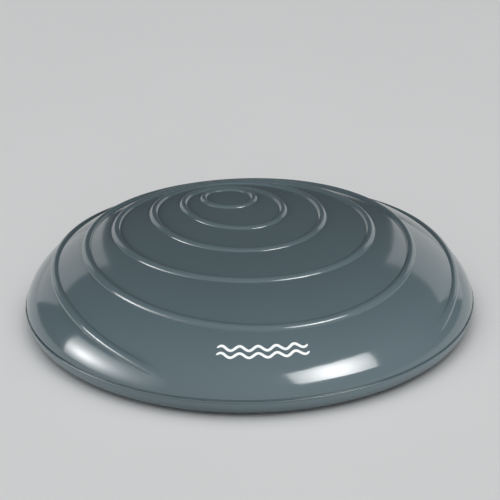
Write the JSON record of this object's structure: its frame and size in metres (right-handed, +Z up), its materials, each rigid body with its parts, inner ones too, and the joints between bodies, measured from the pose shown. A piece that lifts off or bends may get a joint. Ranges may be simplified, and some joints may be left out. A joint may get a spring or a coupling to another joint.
{
  "type": "wobble cushion",
  "caption": "Round inflatable balance cushion with a low rippled dome, a flat underside, a welded rim seam and a plugged air valve in the side wall.",
  "frame": {"origin": "centre of the underside, on the surface that the cushion rests on", "axes": "+Z up through the dome; the printed front faces -Y and the valve faces +Y"},
  "size_m": [0.3939, 0.394, 0.0817],
  "materials": {
    "vinyl": "gloss",
    "weld": "gloss",
    "valve_rubber": "matte",
    "plug_plastic": "satin",
    "white_ink": "satin"
  },
  "bodies": {
    "base": {"lower_skin": "vinyl", "valve_socket": "valve_rubber", "valve_core": "valve_rubber"},
    "rim": {"seam_bead": "weld", "upper_skin_hem": "vinyl"},
    "shoulder": {"upper_skin_shoulder": "vinyl", "print_mark": "white_ink"},
    "crown": {"upper_skin_crown": "vinyl"},
    "plug": {"valve_plug": "plug_plastic"}
  },
  "joints": [
    {"name": "rock_side_to_side", "type": "hinge", "parent": "base", "child": "rim", "pos_m": [0, 0, 0.016], "axis": [0, 1, 0], "range_deg": [-4, 4], "stiffness_Nm_per_rad": 200, "deforming": ["lower_skin"]},
    {"name": "rock_front_to_back", "type": "hinge", "parent": "rim", "child": "shoulder", "pos_m": [0, 0, 0.016], "axis": [1, 0, 0], "range_deg": [-4, 4], "stiffness_Nm_per_rad": 200, "deforming": ["upper_skin_hem"]},
    {"name": "sit_press", "type": "slide", "parent": "shoulder", "child": "crown", "axis": [0, 0, -1], "range_m": [0, 0.025], "stiffness_N_per_m": 30000},
    {"name": "plug_pull", "type": "slide", "parent": "base", "child": "plug", "axis": [0, 1, 0], "range_m": [0, 0.014]}
  ]
}
